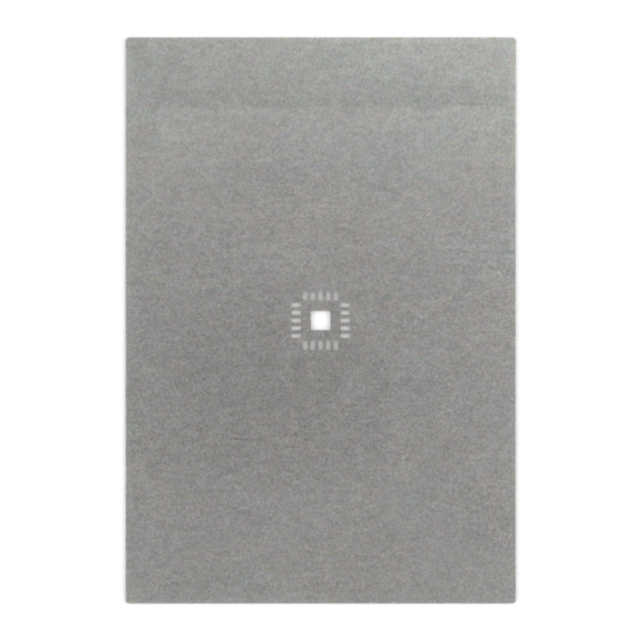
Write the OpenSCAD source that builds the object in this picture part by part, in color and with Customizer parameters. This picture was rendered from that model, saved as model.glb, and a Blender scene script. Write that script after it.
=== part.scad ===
// Solder paste stencil for one quad flat no-lead package with 20 leads.
// A single sheet of stainless steel foil, cut by laser. Paste is wiped over
// the top face and drops through the apertures onto the board below.
//
// Units are millimetres. +Z is up, the board face lies on Z = 0 and the
// squeegee face is at Z = sheet_t. The origin is the centre of the aperture
// pattern on the board face, so it sits over the centre of the package.
// X runs across the short side of the sheet and Y along the long side.

/* [Sheet] */
// Width of the sheet, along X
sheet_w = 25.4; // [20:0.1:60]
// Length of the sheet, along Y
sheet_l = 36.83; // [25:0.01:90]
// Thickness of the foil
sheet_t = 0.1; // [0.08:0.01:0.2]
// Radius of the sheet's four corners
corner_r = 0.25; // [0.05:0.05:3]

/* [Lead apertures] */
// Number of lead apertures along each of the four sides
leads_per_side = 5; // [2:1:9]
// Distance from one lead to the next
pitch = 0.5; // [0.4:0.05:0.8]
// Width of a lead aperture, along the row
lead_w = 0.25; // [0.12:0.01:0.3]
// Length of a lead aperture, square to the row
lead_l = 0.6; // [0.3:0.01:0.9]
// Corner radius of a lead aperture
lead_r = 0.03; // [0.02:0.01:0.05]
// From the centre line of a row to the centre of the nearest lead of the next row
row_setback = 0.6; // [0.45:0.05:1]

/* [Thermal pad aperture] */
// Side of the square aperture for the thermal pad
pad_w = 1.25; // [0.5:0.05:5]
// Corner radius of that aperture
pad_r = 0.06; // [0.03:0.01:0.2]

/* [Laser cut] */
// Lean of every aperture wall: the board side comes out wider, which frees the paste
draft = 3; // [1:0.5:4]
// Least width of steel left standing between two apertures
web = 0.15; // [0.1:0.01:0.15]

/* [Hidden] */
$fn = 48;

// How far a cutter passes each face of the foil
over = 0.02;
// Growth of an aperture's half width for each millimetre below the top face
lean = tan(draft);

// Centre lines of two facing rows, from one to the other
row_span = (leads_per_side - 1) * pitch + 2 * row_setback;
// Lead and pad sizes as cut, held back where they would break through a web
slot_w = min(lead_w, pitch - web);
slot_l = min(lead_l, 2 * (row_setback - slot_w / 2 - web));
pad_side = min(pad_w, row_span - slot_l - 2 * web);

// Flat outline with four equal round corners
module rounded_rect(w, l, r) {
    square([w, l - 2 * r], center = true);
    square([w - 2 * r, l], center = true);
    for (sx = [-1, 1], sy = [-1, 1])
        translate([sx * (w / 2 - r), sy * (l / 2 - r)])
            circle(r = r);
}

// Section of a cutter: half_w is its half width at the squeegee face
module drafted_section(half_w) {
    low = half_w + lean * (sheet_t + over);
    high = half_w - lean * over;
    polygon([[-low, -over], [low, -over], [high, sheet_t + over], [-high, sheet_t + over]]);
}

// Cutter for one aperture. w, l and r are its sizes at the squeegee face
module aperture(w, l, r) {
    // walls that face along X
    rotate([90, 0, 0])
        linear_extrude(l - 2 * r, center = true)
            drafted_section(w / 2);
    // walls that face along Y
    rotate([90, 0, 90])
        linear_extrude(w - 2 * r, center = true)
            drafted_section(l / 2);
    // round corners
    for (sx = [-1, 1], sy = [-1, 1])
        translate([sx * (w / 2 - r), sy * (l / 2 - r), -over])
            cylinder(h = sheet_t + 2 * over, r1 = r + lean * (sheet_t + over), r2 = r - lean * over);
}

// One row of lead apertures, on the +Y side
module lead_row() {
    for (i = [0 : leads_per_side - 1])
        translate([(i - (leads_per_side - 1) / 2) * pitch, row_span / 2, 0])
            aperture(slot_w, slot_l, lead_r);
}

// The whole pattern: a row on each side of the package and the thermal pad
module aperture_pattern() {
    for (side = [0 : 3])
        rotate([0, 0, 90 * side])
            lead_row();
    aperture(pad_side, pad_side, pad_r);
}

module stencil_sheet() {
    color([0.62, 0.62, 0.60])
        difference() {
            linear_extrude(sheet_t)
                rounded_rect(sheet_w, sheet_l, corner_r);
            aperture_pattern();
        }
}

stencil_sheet();
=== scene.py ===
import math

import bpy
import numpy as np
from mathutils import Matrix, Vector
from mathutils.geometry import delaunay_2d_cdt


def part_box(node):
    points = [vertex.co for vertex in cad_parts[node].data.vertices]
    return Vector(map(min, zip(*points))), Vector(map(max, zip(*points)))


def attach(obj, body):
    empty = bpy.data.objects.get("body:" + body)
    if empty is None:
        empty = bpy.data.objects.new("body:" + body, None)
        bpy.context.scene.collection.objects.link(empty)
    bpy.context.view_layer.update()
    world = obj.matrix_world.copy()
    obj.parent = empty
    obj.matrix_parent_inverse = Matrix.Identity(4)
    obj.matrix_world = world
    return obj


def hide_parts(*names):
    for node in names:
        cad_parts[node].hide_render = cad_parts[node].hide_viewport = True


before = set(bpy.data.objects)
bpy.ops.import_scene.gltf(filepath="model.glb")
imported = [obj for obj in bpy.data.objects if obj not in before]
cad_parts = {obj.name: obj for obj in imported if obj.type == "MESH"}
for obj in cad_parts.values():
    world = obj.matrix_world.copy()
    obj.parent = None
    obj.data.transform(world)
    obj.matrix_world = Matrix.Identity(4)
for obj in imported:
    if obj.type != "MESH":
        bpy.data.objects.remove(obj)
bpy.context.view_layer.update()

LO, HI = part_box("stencil_sheet")
MM = 0.001

scene = bpy.context.scene


# ---------------------------------------------------------------- outlines
# Everything below works in millimetres and is scaled to metres when the mesh is made.
def outlines(z_mm):
    """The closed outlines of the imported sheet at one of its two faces, in mm."""
    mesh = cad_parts["stencil_sheet"].data
    where, index, places = {}, [], []
    for v in mesh.vertices:
        key = tuple(round(c / MM, 4) for c in v.co)
        if key not in where:
            where[key] = len(places)
            places.append(key)
        index.append(where[key])
    uses = {}
    for p in mesh.polygons:
        corners = [index[i] for i in p.vertices]
        if all(abs(places[i][2] - z_mm) < 1e-3 for i in corners):
            for a, b in zip(corners, corners[1:] + corners[:1]):
                e = (min(a, b), max(a, b))
                uses[e] = uses.get(e, 0) + 1
    beside = {}
    for a, b in (e for e, n in uses.items() if n == 1):
        beside.setdefault(a, []).append(b)
        beside.setdefault(b, []).append(a)
    loops, seen = [], set()
    for start in sorted(beside):
        if start in seen:
            continue
        loop, at = [start], start
        seen.add(start)
        while True:
            following = [n for n in beside[at] if n not in seen]
            if not following:
                break
            at = following[0]
            seen.add(at)
            loop.append(at)
        loops.append(np.array([places[i][:2] for i in loop]))
    return loops


def rounded_box(loop):
    """Centre, half sizes and corner radius of a rounded rectangle given by its points."""
    lo, hi = loop.min(0), loop.max(0)
    top = loop[np.abs(loop[:, 1] - hi[1]) < 1e-3]
    r = (hi[0] - lo[0]) / 2 - (top[:, 0].max() - top[:, 0].min()) / 2
    return np.array([*(lo + hi) / 2, *(hi - lo) / 2, r])


T = (HI.z - LO.z) / MM
top_boxes = [rounded_box(l) for l in outlines(round(HI.z / MM, 4))]
low_boxes = [rounded_box(l) for l in outlines(round(LO.z / MM, 4))]
top_boxes.sort(key=lambda b: -b[2] * b[3])
cuts = []
for b in top_boxes:
    near = min(low_boxes, key=lambda c: abs(b - c).sum())
    cuts.append((b, near))
outer, holes = cuts[0], cuts[1:]
W, L = outer[0][2] * 2, outer[0][3] * 2


def ring(box, step, corner_steps):
    """Points round a rounded rectangle, anticlockwise, with their outward normals."""
    cx, cy, hx, hy, r = box
    points, normals = [], []
    sides = [2 * (hx - r), 2 * (hy - r)]
    counts = [max(2, int(round(s / step))) for s in sides]
    corners = [(1, 1, 0, 0), (-1, 1, 90, 1), (-1, -1, 180, 0), (1, -1, 270, 1)]
    for sx, sy, start, side in corners:
        c = np.array([cx + sx * (hx - r), cy + sy * (hy - r)])
        for k in range(corner_steps + 1):
            a = math.radians(start + 90 * k / corner_steps)
            n = np.array([math.cos(a), math.sin(a)])
            points.append(c + r * n)
            normals.append(n)
        a = math.radians(start + 90)
        n = np.array([math.cos(a), math.sin(a)])
        along = np.array([-n[1], n[0]])
        length, count = sides[side], counts[side]
        for k in range(1, count):
            points.append(c + r * n + along * length * k / count)
            normals.append(n)
    return np.array(points), np.array(normals)


def drag_marks(s, z, seed, size):
    """The fine ripple a laser leaves on the wall it cuts: 0 to 1, at distance s along the cut and height z, in units of size."""
    rng = np.random.default_rng(seed)
    total = np.zeros(np.broadcast(s, z).shape)
    for k in range(6):
        wave = size * rng.uniform(0.7, 1.9)
        lean = rng.uniform(-0.35, 0.35)
        total = total + np.sin(2 * math.pi * (s + lean * z) / wave + rng.uniform(0, 6.28))
    return 0.5 + 0.5 * np.tanh(total / 2.2)


vertices, faces, uvs, marks = [], [], [], []
# marks: 0 = rolled face, 1 = cut wall and its rim


def add_face(ids, uv, mark):
    faces.append(ids)
    uvs.append(uv)
    marks.append(mark)


UV_SPAN = 52.4  # mm of map across the square


def uv_of(x, y):
    return (x / UV_SPAN, y / UV_SPAN)


def build_wall(cut, into, step, corner_steps, rim, low_rim, levels, ripple, wave, seed, strips):
    """One cut through the sheet: a rounded upper rim, the rippled wall and a rounded lower rim.
    into is +1 where the metal lies outside the outline and -1 where it lies inside. Returns the vertex ids of the ring on each face."""
    top, low = cut
    p_top, normal = ring(top, step, corner_steps)
    # the same number of points on the lower outline
    n = len(p_top)
    cx, cy, hx, hy, r = top
    lx, ly, lhx, lhy, lr = low
    # a point keeps its share of the side it is on, so scale the straight part and rebuild the arc
    q = p_top - [cx, cy] - normal * r
    scale = np.array([(lhx - lr) / (hx - r), (lhy - lr) / (hy - r)])
    p_low = np.array([lx, ly]) + q * scale + normal * lr
    seg = np.linalg.norm(np.roll(p_top, -1, 0) - p_top, axis=1)
    s = np.concatenate([[0], np.cumsum(seg)])
    perimeter = s[-1]
    profile = []
    for k in range(4):
        a = math.radians(90 * k / 3)
        profile.append((T - rim * (1 - math.cos(a)), rim * (1 - math.sin(a)), 0.0))
    for k in range(1, levels):
        profile.append((T - rim - (T - rim - low_rim) * k / levels, 0.0, 1.0))
    for k in range(3):
        a = math.radians(90 * k / 2)
        profile.append((low_rim * (1 - math.sin(a)), low_rim * (1 - math.cos(a)), 0.0))
    rings = []
    for z, inset, rough in profile:
        share = 1 - z / T
        base = p_top * (1 - share) + p_low * share
        fade = min(1.0, (T - z) / (2 * rim + 1e-9), z / (2 * low_rim + 1e-9))
        d = inset + ripple * fade * drag_marks(s[:-1], z, seed, wave)
        place = base + normal * (d * into)[:, None]
        first = len(vertices)
        vertices.extend([(x, y, z) for x, y in place])
        rings.append(list(range(first, first + n)))
    # distance down the profile, for the map
    steps = [0.0]
    for (za, da, _), (zb, db, _) in zip(profile, profile[1:]):
        steps.append(steps[-1] + math.hypot(za - zb, da - db))
    down = steps[-1]
    for k in range(n):
        j = (k + 1) % n
        a, b = s[k], s[k + 1]
        # the strip of the map that this piece of the wall lies in
        which = min(int(a / perimeter * len(strips) + 1e-9), len(strips) - 1)
        sx, sy, sw, sh = strips[which]
        from_s, span = perimeter * which / len(strips), perimeter / len(strips)
        ua, ub = ((a - from_s) / span * sw, min((b - from_s) / span, 1.02) * sw)
        for i in range(len(rings) - 1):
            va, vb = sh * (1 - steps[i] / down), sh * (1 - steps[i + 1] / down)
            ids = [rings[i][k], rings[i + 1][k], rings[i + 1][j], rings[i][j]]
            uv = [
                uv_of(sx + ua, sy + va),
                uv_of(sx + ua, sy + vb),
                uv_of(sx + ub, sy + vb),
                uv_of(sx + ub, sy + va),
            ]
            add_face(ids if into < 0 else ids[::-1], uv if into < 0 else uv[::-1], 1)
    return rings[0], rings[-1]


# The map: the upper face on the left, the lower face on the right, the walls in strips above them.
GAP = 0.3
face_y = GAP
strip_y = face_y + L + 2 * GAP
outer_strips = [(GAP, strip_y + k * 1.1, 50.5, 0.8) for k in range(3)]
wall_rings = [
    build_wall(outer, -1, 0.09, 10, 0.010, 0.007, 6, 0.002, 0.34, 11, outer_strips)
]
at_x, at_y = GAP, strip_y + 3 * 1.1 + 0.2
for k, hole in enumerate(sorted(holes, key=lambda c: (-c[0][2] * c[0][3], c[0][0], c[0][1]))):
    perimeter = 4 * (hole[0][2] + hole[0][3])
    width = perimeter * 3.1
    if at_x + width > UV_SPAN - GAP:
        at_x, at_y = GAP, at_y + 1.3
    wall_rings.append(
        build_wall(hole, +1, 0.0135, 6, 0.006, 0.004, 7, 0.0016, 0.05, 100 + k, [(at_x, at_y, width, 1.0)])
    )
    at_x += width + GAP


def inside(box, p, grow=0.0):
    """True for the points inside a rounded rectangle."""
    cx, cy, hx, hy, r = box
    q = np.abs(p - [cx, cy]) - [hx - r, hy - r]
    d = np.linalg.norm(np.maximum(q, 0), axis=-1) + np.minimum(q.max(-1), 0) - r
    return d < grow


def filler():
    """Points inside the face, close together near the holes and further apart away from them."""
    out = []
    rng = np.random.default_rng(5)
    for pitch, lo_r, hi_r in ((0.09, 0.0, 2.3), (0.2, 2.3, 3.4), (0.42, 3.4, 5.6), (0.9, 5.6, 99)):
        nx, ny = int(W / pitch) + 2, int(L / (pitch * 0.866)) + 2
        gx, gy = np.meshgrid(np.arange(-nx, nx + 1) * 1.0, np.arange(-ny, ny + 1) * 1.0)
        gx = gx + 0.5 * (np.abs(gy) % 2)
        p = np.stack([gx.ravel() * pitch, gy.ravel() * pitch * 0.866], 1)
        far = np.abs(p).max(1)
        p = p[(far >= lo_r) & (far < hi_r)]
        p = p + rng.uniform(-0.12, 0.12, p.shape) * pitch
        p = p[inside(outer[0], p, -0.45 * min(pitch, 0.4))]
        for b, _ in holes:
            p = p[~inside(b, p, 0.05)]
        out.append(p)
    return np.concatenate(out)


def build_face(which, z, up):
    """One of the two broad faces: a triangulation with the cut rings as its edges."""
    ring_ids = [r[which] for r in wall_rings]
    flat, edges, ids = [], [], []
    for r in ring_ids:
        first = len(flat)
        for i in r:
            flat.append(Vector(vertices[i][:2]))
            ids.append(i)
        n = len(r)
        edges += [(first + k, first + (k + 1) % n) for k in range(n)]
    for x, y in filler():
        ids.append(len(vertices))
        vertices.append((x, y, z))
        flat.append(Vector((x, y)))
    co, _, tris, origin, _, _ = delaunay_2d_cdt(flat, edges, [], 0, 1e-6)
    centres = np.array([[(co[a].x + co[b].x + co[c].x) / 3, (co[a].y + co[b].y + co[c].y) / 3] for a, b, c in tris])
    keep = np.ones(len(tris), bool)
    for hole in holes:
        keep &= ~inside(hole[which], centres, 0.0)
    keep &= inside(outer[which], centres, 0.0)
    for t, good in zip(tris, keep):
        if not good:
            continue
        at = []
        for c in t:
            if not origin[c]:
                raise RuntimeError("the face's triangulation made a point of its own")
            at.append(ids[origin[c][0]])
        a, b, c = (np.array(vertices[i][:2]) for i in at)
        turn = (b[0] - a[0]) * (c[1] - a[1]) - (b[1] - a[1]) * (c[0] - a[0])
        if (turn > 0) != up:
            at = at[::-1]
        uv = []
        for i in at:
            x, y, _ = vertices[i]
            left = x + W / 2 if up else W / 2 - x
            start = GAP if up else 2 * GAP + W + 0.2
            uv.append(uv_of(start + left, face_y + y + L / 2))
        add_face(at, uv, 0)


build_face(0, T, True)
build_face(-1, 0.0, False)

used = sorted({i for f in faces for i in f})
renumber = {old: new for new, old in enumerate(used)}
points = np.array([vertices[i] for i in used]) * MM
points[:, 2] += LO.z
mesh = bpy.data.meshes.new("stencil_foil")
mesh.from_pydata(points.tolist(), [], [[renumber[i] for i in f] for f in faces])
mesh.update()
layer = mesh.uv_layers.new(name="OFBake")
layer.uv.foreach_set("vector", np.array([c for f in uvs for c in f], np.float32).ravel())
mark_list = np.array(marks)
mesh.polygons.foreach_set("material_index", mark_list.astype(np.int32))
mesh.polygons.foreach_set("use_smooth", (mark_list == 1))
foil = bpy.data.objects.new("stencil_foil", mesh)
scene.collection.objects.link(foil)
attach(foil, "root")
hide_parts("stencil_sheet")


# ---------------------------------------------------------------- materials
class Net:
    """A short way to write a node tree."""

    def __init__(self, tree):
        self.tree = tree

    def node(self, kind, **props):
        n = self.tree.nodes.new(kind)
        for k, v in props.items():
            setattr(n, k, v)
        return n

    def put(self, socket, value):
        if isinstance(value, bpy.types.NodeSocket):
            self.tree.links.new(value, socket)
        elif value is not None:
            socket.default_value = value

    def math(self, op, a, b=None, c=None, clamp=False):
        n = self.node("ShaderNodeMath", operation=op, use_clamp=clamp)
        self.put(n.inputs[0], a)
        self.put(n.inputs[1], b)
        self.put(n.inputs[2], c)
        return n.outputs[0]

    def vec(self, op, a, b=None, scale=None):
        n = self.node("ShaderNodeVectorMath", operation=op)
        self.put(n.inputs[0], a)
        self.put(n.inputs[1], b)
        if scale is not None:
            self.put(n.inputs["Scale"], scale)
        return n.outputs["Value"] if op in ("LENGTH", "DOT_PRODUCT", "DISTANCE") else n.outputs[0]

    def xyz(self, x, y, z):
        n = self.node("ShaderNodeCombineXYZ")
        for s, v in zip(n.inputs, (x, y, z)):
            self.put(s, v)
        return n.outputs[0]

    def parts(self, v):
        n = self.node("ShaderNodeSeparateXYZ")
        self.put(n.inputs[0], v)
        return n.outputs

    def noise(self, v, scale, detail=0.0, roughness=0.5, distortion=0.0, lacunarity=2.0):
        n = self.node("ShaderNodeTexNoise", noise_dimensions="3D")
        self.put(n.inputs["Vector"], v)
        n.inputs["Scale"].default_value = scale
        n.inputs["Detail"].default_value = detail
        n.inputs["Roughness"].default_value = roughness
        n.inputs["Lacunarity"].default_value = lacunarity
        n.inputs["Distortion"].default_value = distortion
        return n.outputs["Fac"]

    def cells(self, v, scale):
        """Three random numbers for each cell of a pattern like packed crystals."""
        n = self.node("ShaderNodeTexVoronoi", feature="F1")
        self.put(n.inputs["Vector"], v)
        n.inputs["Scale"].default_value = scale
        parts = self.node("ShaderNodeSeparateColor")
        self.put(parts.inputs[0], n.outputs["Color"])
        return parts.outputs

    def spread(self, fac, size):
        """Noise of 0 to 1 turned into a share either side of 0, times size."""
        return self.math("MULTIPLY", self.math("SUBTRACT", fac, 0.5), size)

    def ramp(self, value, low, high, to_low=0.0, to_high=1.0, smooth=True):
        n = self.node("ShaderNodeMapRange", interpolation_type="SMOOTHSTEP" if smooth else "LINEAR", clamp=True) if smooth else self.node("ShaderNodeMapRange", clamp=True)
        self.put(n.inputs["Value"], value)
        n.inputs["From Min"].default_value = low
        n.inputs["From Max"].default_value = high
        n.inputs["To Min"].default_value = to_low
        n.inputs["To Max"].default_value = to_high
        return n.outputs["Result"]

    def add(self, *values):
        total = values[0]
        for v in values[1:]:
            total = self.math("ADD", total, v)
        return total


def new_material(name):
    m = bpy.data.materials.new(name)
    m.use_nodes = True
    m.node_tree.nodes.clear()
    net = Net(m.node_tree)
    out = net.node("ShaderNodeOutputMaterial")
    shader = net.node("ShaderNodeBsdfPrincipled")
    net.tree.links.new(shader.outputs[0], out.inputs["Surface"])
    return m, net, shader


# ---- the rolled face. Lengths in mm, tones as shares of the metal's reflectance
BASE = 0.577
ROUGH = 0.34
# (features per mm, strength), from fine to broad. The finest of each is a crystal pattern, the rest are smooth.
CRYSTALS = (24.0, 0.62)
STROKES = (3.0, 0.17)  # short marks along the width, from rolling
GRAIN = ((1.6, 0.06), (0.8, 0.07), (0.4, 0.06), (0.2, 0.04))
TINT_CRYSTALS = (12.0, 0.08, 0.068)
WARM = ((3.2, 0.07), (1.6, 0.058), (0.4, 0.018), (0.2, 0.035))
GREEN = ((3.2, 0.048), (1.6, 0.03), (0.2, 0.008))
# fine scratches that catch the light: ends (x, y), half width, strength
SCRATCHES = (
    ((10.95, 4.06), (12.25, 2.11), 0.035, 0.07),
    ((-12.14, -0.04), (-11.17, 2.30), 0.035, 0.06),
    ((-12.01, -3.94), (-11.03, -2.44), 0.035, 0.06),
    ((-9.86, -12.85), (-9.60, -13.50), 0.035, 0.11),
    ((-2.06, -0.95), (-2.71, -1.60), 0.05, 0.09),
    ((1.65, -1.99), (1.78, -3.09), 0.04, 0.05),
    ((-0.76, -2.64), (-0.50, -3.94), 0.04, 0.05),
    ((-5.18, 10.37), (-2.71, 10.37), 0.035, 0.06),
    ((-6.35, -7.65), (-4.01, -7.78), 0.045, -0.07),
    ((-11.03, -9.27), (-9.60, -9.27), 0.045, -0.07),
)
# small bright pits: (x, y), radius, strength
SPECKS = (
    ((10.69, 16.16), 0.075, 0.30),
    ((2.43, -14.67), 0.055, 0.30),
    ((-1.15, -15.58), 0.06, 0.18),
    ((-0.76, -15.90), 0.05, 0.18),
    ((0.48, -3.55), 0.07, 0.13),
    ((6.98, 6.86), 0.08, 0.10),
)


# broad soft painted shade and light, standing in for how a foil that isn't quite flat would catch the lamps: (x, y),
# radii, strength
PAINTED_BOW_SHADING = (
    ((-5.0, -5.2), (8.5, 6.0), -0.115),
    ((-10.5, 12.5), (5.0, 6.0), 0.06),
    ((3.0, -2.0), (8.0, 5.0), -0.04),
    ((-9.0, 2.5), (5.0, 4.0), -0.03),
)


# faint warm stains: (x, y), radii
STAINS = (((-2.6, 7.7), (6.0, 3.2)), ((-1.3, -6.8), (6.6, 2.6)), ((3.5, -15.9), (5.2, 2.0)))


def steel_face():
    m, net, shader = new_material("rolled_steel")
    where = net.node("ShaderNodeTexCoord").outputs["Object"]
    p = net.vec("SCALE", where, scale=1000.0)
    x, y, z = net.parts(p)
    upper = net.math("GREATER_THAN", z, T / 2)
    # each face gets a pattern of its own
    q = net.xyz(x, y, net.math("MULTIPLY", z, 90.0))
    stretched = net.vec("MULTIPLY", q, (0.85, 1.0, 1.0))

    def layers(vector, shift, rows):
        total = None
        for k, (scale, size) in enumerate(rows):
            moved = net.vec("ADD", vector, (shift + 3.7 * k, 1.9 * shift - 5.3 * k, 11.0 + shift))
            part = net.spread(net.noise(moved, scale, 0.0), size)
            total = part if total is None else net.math("ADD", total, part)
        return total

    crystals = net.spread(net.cells(stretched, CRYSTALS[0])[0], CRYSTALS[1])
    along = net.vec("MULTIPLY", net.vec("ADD", q, (9.0, 4.0, 2.0)), (0.42, 1.0, 1.0))
    strokes = net.spread(net.noise(along, STROKES[0]), STROKES[1])
    grain = net.add(crystals, strokes, layers(stretched, 0.0, GRAIN))
    # the mill's long faint lines along the sheet's width
    streak = net.spread(net.noise(net.vec("MULTIPLY", q, (0.10, 2.6, 1.0)), 1.0, 2.0, 0.7), 0.035)

    # a band near one end: darker, then lighter, with a ragged edge between
    ragged = net.add(
        y,
        net.spread(net.noise(net.vec("MULTIPLY", q, (2.3, 0.3, 1.0)), 1.0, 2.0, 0.7), 1.1),
        net.spread(net.noise(q, 0.16, 1.0, 0.5), 0.6),
    )
    dark = net.math("MULTIPLY", net.ramp(ragged, 13.7, 14.05), net.ramp(ragged, 16.2, 14.3))
    light = net.math("MULTIPLY", net.ramp(ragged, 14.0, 13.5), net.ramp(ragged, 9.6, 12.6))
    within = net.math("MULTIPLY", net.ramp(x, -12.2, -10.2), net.ramp(x, 12.4, 10.6))
    band = net.math("MULTIPLY", within, net.add(net.math("MULTIPLY", dark, -0.065), net.math("MULTIPLY", light, 0.05)))

    # painted light: a faint lighter cloud towards the other end, where the lamps light that end more brightly
    cloud_d = net.vec("LENGTH", net.vec("MULTIPLY", net.vec("SUBTRACT", net.xyz(x, y, 0.0), (-1.0, -12.2, 0.0)), (0.12, 0.34, 1.0)))
    painted_light_cloud = net.math("MULTIPLY", net.ramp(cloud_d, 1.25, 0.2), 0.05)

    extra = None
    flat = net.xyz(x, y, 0.0)
    # painted shade and light: one soft darker or lighter oval per entry, added to the foil's colour
    for (ax, ay), (rx, ry), strength in PAINTED_BOW_SHADING:
        d = net.vec("LENGTH", net.vec("MULTIPLY", net.vec("SUBTRACT", flat, (ax, ay, 0.0)), (1 / rx, 1 / ry, 0.0)))
        shade = net.ramp(d, 1.6, 0.0, 0.0, strength)
        extra = shade if extra is None else net.math("ADD", extra, shade)
    wobble = net.node("ShaderNodeTexNoise", noise_dimensions="3D")
    net.put(wobble.inputs["Vector"], q)
    wobble.inputs["Scale"].default_value = 2.2
    wobble.inputs["Detail"].default_value = 1.0
    bent = net.vec("ADD", flat, net.vec("MULTIPLY", net.vec("SUBTRACT", wobble.outputs["Color"], (0.5, 0.5, 0.5)), (0.16, 0.16, 0.0)))
    for (ax, ay), (bx, by), half, strength in SCRATCHES:
        long = math.hypot(bx - ax, by - ay)
        ux, uy = (bx - ax) / long, (by - ay) / long
        rel = net.vec("SUBTRACT", bent, (ax, ay, 0.0))
        along = net.vec("DOT_PRODUCT", rel, (ux, uy, 0.0))
        across = net.vec("DOT_PRODUCT", rel, (-uy, ux, 0.0))
        side = net.ramp(net.math("ABSOLUTE", across), half * 1.6, half * 0.3)
        ends = net.math("MULTIPLY", net.ramp(along, -0.05, 0.3 * long), net.ramp(along, long + 0.05, 0.7 * long))
        mark = net.math("MULTIPLY", net.math("MULTIPLY", side, ends), strength * 2.3)
        extra = mark if extra is None else net.math("ADD", extra, mark)
    for (ax, ay), radius, strength in SPECKS:
        d = net.vec("DISTANCE", bent, (ax, ay, 0.0))
        extra = net.math("ADD", extra, net.math("MULTIPLY", net.ramp(d, radius * 1.7, radius * 0.4), strength))

    # handling scuffs close round the holes
    near = net.math("MAXIMUM", net.math("ABSOLUTE", x), net.math("ABSOLUTE", y))
    close = net.math("MULTIPLY", net.ramp(near, 4.2, 2.3), net.ramp(near, 1.7, 2.1))
    smear = net.ramp(net.noise(net.vec("MULTIPLY", q, (0.8, 2.2, 1.0)), 1.0, 1.0, 0.6), 0.56, 0.74)
    scuff = net.math("MULTIPLY", net.math("MULTIPLY", close, smear), 0.10)
    upper_only = net.math("MULTIPLY", upper, net.add(band, painted_light_cloud, extra, scuff))

    # painted light: the rim is a little brighter, a painted glow of the bright table's glare along the edge
    to_side = net.math("SUBTRACT", W / 2, net.math("ABSOLUTE", x))
    to_end = net.math("SUBTRACT", L / 2, net.math("ABSOLUTE", y))
    edge = net.math("MINIMUM", to_side, to_end)
    rim = net.add(
        net.math("MULTIPLY", net.math("EXPONENT", net.math("MULTIPLY", edge, -5.0)), 0.14),
        net.math("MULTIPLY", net.math("EXPONENT", net.math("MULTIPLY", edge, -0.7)), 0.035),
    )

    tone = net.add(grain, streak, upper_only, rim)
    value = net.math("MULTIPLY_ADD", tone, BASE, BASE)
    # slight warm and cool mottling
    wide = net.vec("MULTIPLY", q, (0.72, 1.0, 1.0))
    tints = net.cells(net.vec("ADD", wide, (5.0, 2.0, 8.0)), TINT_CRYSTALS[0])
    warm = net.math("ADD", layers(wide, 31.0, WARM), net.spread(tints[0], TINT_CRYSTALS[1]))
    green = net.math("ADD", layers(wide, -47.0, GREEN), net.spread(tints[1], TINT_CRYSTALS[2]))
    for (ax, ay), (rx, ry) in STAINS:
        d = net.vec("LENGTH", net.vec("MULTIPLY", net.vec("SUBTRACT", flat, (ax, ay, 0.0)), (1 / rx, 1 / ry, 0.0)))
        warm = net.math("ADD", warm, net.math("MULTIPLY", upper, net.ramp(d, 1.5, 0.0, 0.0, 0.014)))
    # slightly greener towards the far end and the rim
    green = net.add(green, net.ramp(y, 2.0, 18.0, -0.003, 0.006), net.math("MULTIPLY", net.math("EXPONENT", net.math("MULTIPLY", edge, -0.8)), 0.008))
    red = net.math("MULTIPLY", value, net.math("ADD", 1.008, net.math("SUBTRACT", warm, green)))
    grn = net.math("MULTIPLY", value, net.math("ADD", 1.0, green))
    blu = net.math("MULTIPLY", value, net.math("SUBTRACT", net.math("SUBTRACT", 0.967, warm), green))
    colour = net.node("ShaderNodeCombineColor")
    for s, v in zip(colour.inputs, (red, grn, blu)):
        net.put(s, v)
    net.put(shader.inputs["Base Color"], colour.outputs[0])
    shader.inputs["Metallic"].default_value = 1.0
    rough = net.math("ADD", ROUGH, net.add(net.math("MULTIPLY", grain, 0.10), net.math("MULTIPLY", streak, 0.4)))
    net.put(shader.inputs["Roughness"], rough)
    height = net.add(
        net.noise(stretched, 5.0, 3.0, 0.75),
        net.math("MULTIPLY", net.noise(net.vec("MULTIPLY", q, (0.5, 9.0, 1.0)), 1.0, 3.0, 0.7), 0.8),
    )
    bump = net.node("ShaderNodeBump")
    bump.inputs["Strength"].default_value = 0.25
    bump.inputs["Distance"].default_value = 0.000004
    net.put(bump.inputs["Height"], height)
    net.put(shader.inputs["Normal"], bump.outputs[0])
    return m


def cut_wall():
    m, net, shader = new_material("laser_cut_steel")
    where = net.node("ShaderNodeTexCoord").outputs["Object"]
    p = net.vec("SCALE", where, scale=1000.0)
    melt = net.noise(p, 14.0, 4.0, 0.7)
    drag = net.noise(net.vec("MULTIPLY", p, (22.0, 22.0, 2.0)), 1.0, 2.0, 0.6)
    tone = net.add(net.spread(melt, 0.25), net.spread(drag, 0.22))
    value = net.math("MULTIPLY_ADD", tone, 0.5, 0.52)
    colour = net.node("ShaderNodeCombineColor")
    for s, v in zip(colour.inputs, (value, net.math("MULTIPLY", value, 0.975), net.math("MULTIPLY", value, 0.93))):
        net.put(s, v)
    net.put(shader.inputs["Base Color"], colour.outputs[0])
    shader.inputs["Metallic"].default_value = 1.0
    net.put(shader.inputs["Roughness"], net.math("ADD", 0.42, net.spread(melt, 0.3)))
    bump = net.node("ShaderNodeBump")
    bump.inputs["Strength"].default_value = 0.5
    bump.inputs["Distance"].default_value = 0.000003
    net.put(bump.inputs["Height"], net.add(melt, drag))
    net.put(shader.inputs["Normal"], bump.outputs[0])
    return m


mesh.materials.append(steel_face())
mesh.materials.append(cut_wall())


# ---------------------------------------------------------------- floor
def floor_material():
    m, net, shader = new_material("white_table")
    where = net.node("ShaderNodeTexCoord").outputs["Object"]
    n = net.noise(net.vec("SCALE", where, scale=1000.0), 0.05, 3.0, 0.5)
    v = net.math("ADD", 0.89, net.spread(n, 0.01))
    colour = net.node("ShaderNodeCombineColor")
    for s in colour.inputs:
        net.put(s, v)
    net.put(shader.inputs["Base Color"], colour.outputs[0])
    shader.inputs["Roughness"].default_value = 0.9
    shader.inputs["Specular IOR Level"].default_value = 0.1
    return m


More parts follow.
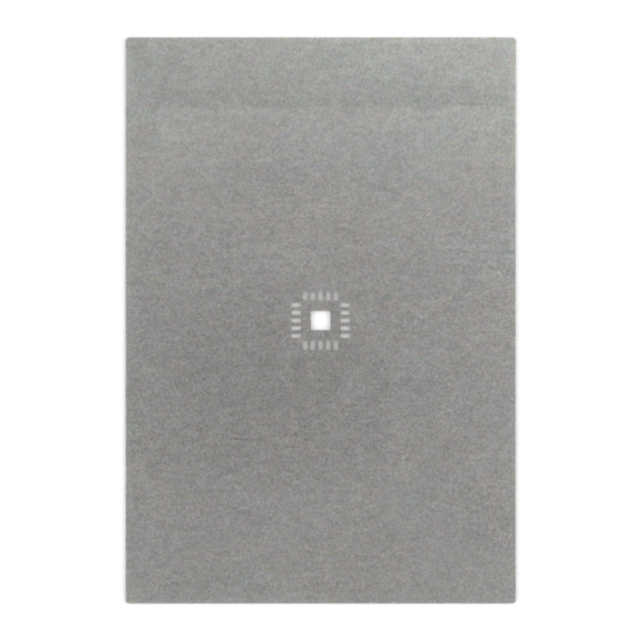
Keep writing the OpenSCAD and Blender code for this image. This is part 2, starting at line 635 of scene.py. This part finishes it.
size = 1.6
floor_mesh = bpy.data.meshes.new("table")
floor_mesh.from_pydata(
    [(-size, -size, 0), (size, -size, 0), (size, size, 0), (-size, size, 0)], [], [(0, 1, 2, 3)]
)
floor_mesh.materials.append(floor_material())
floor = bpy.data.objects.new("table", floor_mesh)
floor.location = (0, 0, LO.z - 0.00011)  # a loose foil touches only here and there
scene.collection.objects.link(floor)


# ---------------------------------------------------------------- light
def softbox(name, place, aim, width, height, watts, colour=(1, 1, 1)):
    data = bpy.data.lights.new(name, "AREA")
    data.shape = "RECTANGLE"
    data.size, data.size_y = width, height
    data.energy = watts
    data.color = colour
    o = bpy.data.objects.new(name, data)
    o.location = place
    o.rotation_mode = "QUATERNION"
    o.rotation_quaternion = (Vector(aim) - Vector(place)).to_track_quat("-Z", "Y")
    scene.collection.objects.link(o)
    return o


def around(azimuth, elevation, distance):
    a, e = math.radians(azimuth), math.radians(elevation)
    return (
        distance * math.cos(a) * math.cos(e),
        distance * math.sin(a) * math.cos(e),
        distance * math.sin(e),
    )


softbox("left", around(180, 33, 0.7), (0, 0, 0), 0.4, 0.6, 3.15)
softbox("right", around(0, 35, 0.7), (0, 0, 0), 0.4, 0.6, 3.15)
softbox("back", around(74, 60, 0.7), (0, 0, 0), 0.34, 0.26, 0.62)
softbox("front", around(-90, 55, 0.7), (0, 0, 0), 0.4, 0.24, 0.22)
softbox("low_back", around(90, 32, 0.7), (0, 0, 0), 0.6, 0.34, 0.85)
softbox("low_front", around(-90, 32, 0.7), (0, 0, 0), 0.6, 0.34, 0.85)

# the room: pale walls and a darker ceiling
world = bpy.data.worlds.new("studio")
scene.world = world
world.use_nodes = True
wnet = Net(world.node_tree)
world.node_tree.nodes.clear()
wout = wnet.node("ShaderNodeOutputWorld")
wback = wnet.node("ShaderNodeBackground")
wback.inputs["Color"].default_value = (0.99, 0.993, 1.0, 1)
height = wnet.parts(wnet.node("ShaderNodeTexCoord").outputs["Generated"])[2]
wnet.put(wback.inputs["Strength"], wnet.ramp(height, 0.05, 0.85, 0.72, 0.255))
wnet.tree.links.new(wback.outputs[0], wout.inputs["Surface"])


# ---------------------------------------------------------------- camera
PX = 390.5  # the sheet's width in the 640-pixel frame
cam_data = bpy.data.cameras.new("camera")
cam_data.sensor_width = 36.0
cam_data.sensor_fit = "HORIZONTAL"
cam_data.lens = 100.0
cam_data.clip_start, cam_data.clip_end = 0.005, 20.0
camera = bpy.data.objects.new("camera", cam_data)
span = (HI.x - LO.x) * 640 / PX
middle = (LO + HI) / 2
camera.location = (
    middle.x - 0.67 / 640 * span,
    middle.y + 0.43 / 640 * span,
    HI.z + span * cam_data.lens / cam_data.sensor_width,
)
camera.rotation_euler = (0, 0, 0)
scene.collection.objects.link(camera)
scene.camera = camera

scene.view_settings.view_transform = "Standard"
scene.view_settings.look = "None"
scene.view_settings.exposure = 0.0
scene.view_settings.gamma = 1.0
# the photograph's lens is a little soft, and so is this one's pixel filter
scene.cycles.filter_width = 2.5

print("foil", len(mesh.vertices), "vertices", sum(len(p.vertices) - 2 for p in mesh.polygons), "triangles")
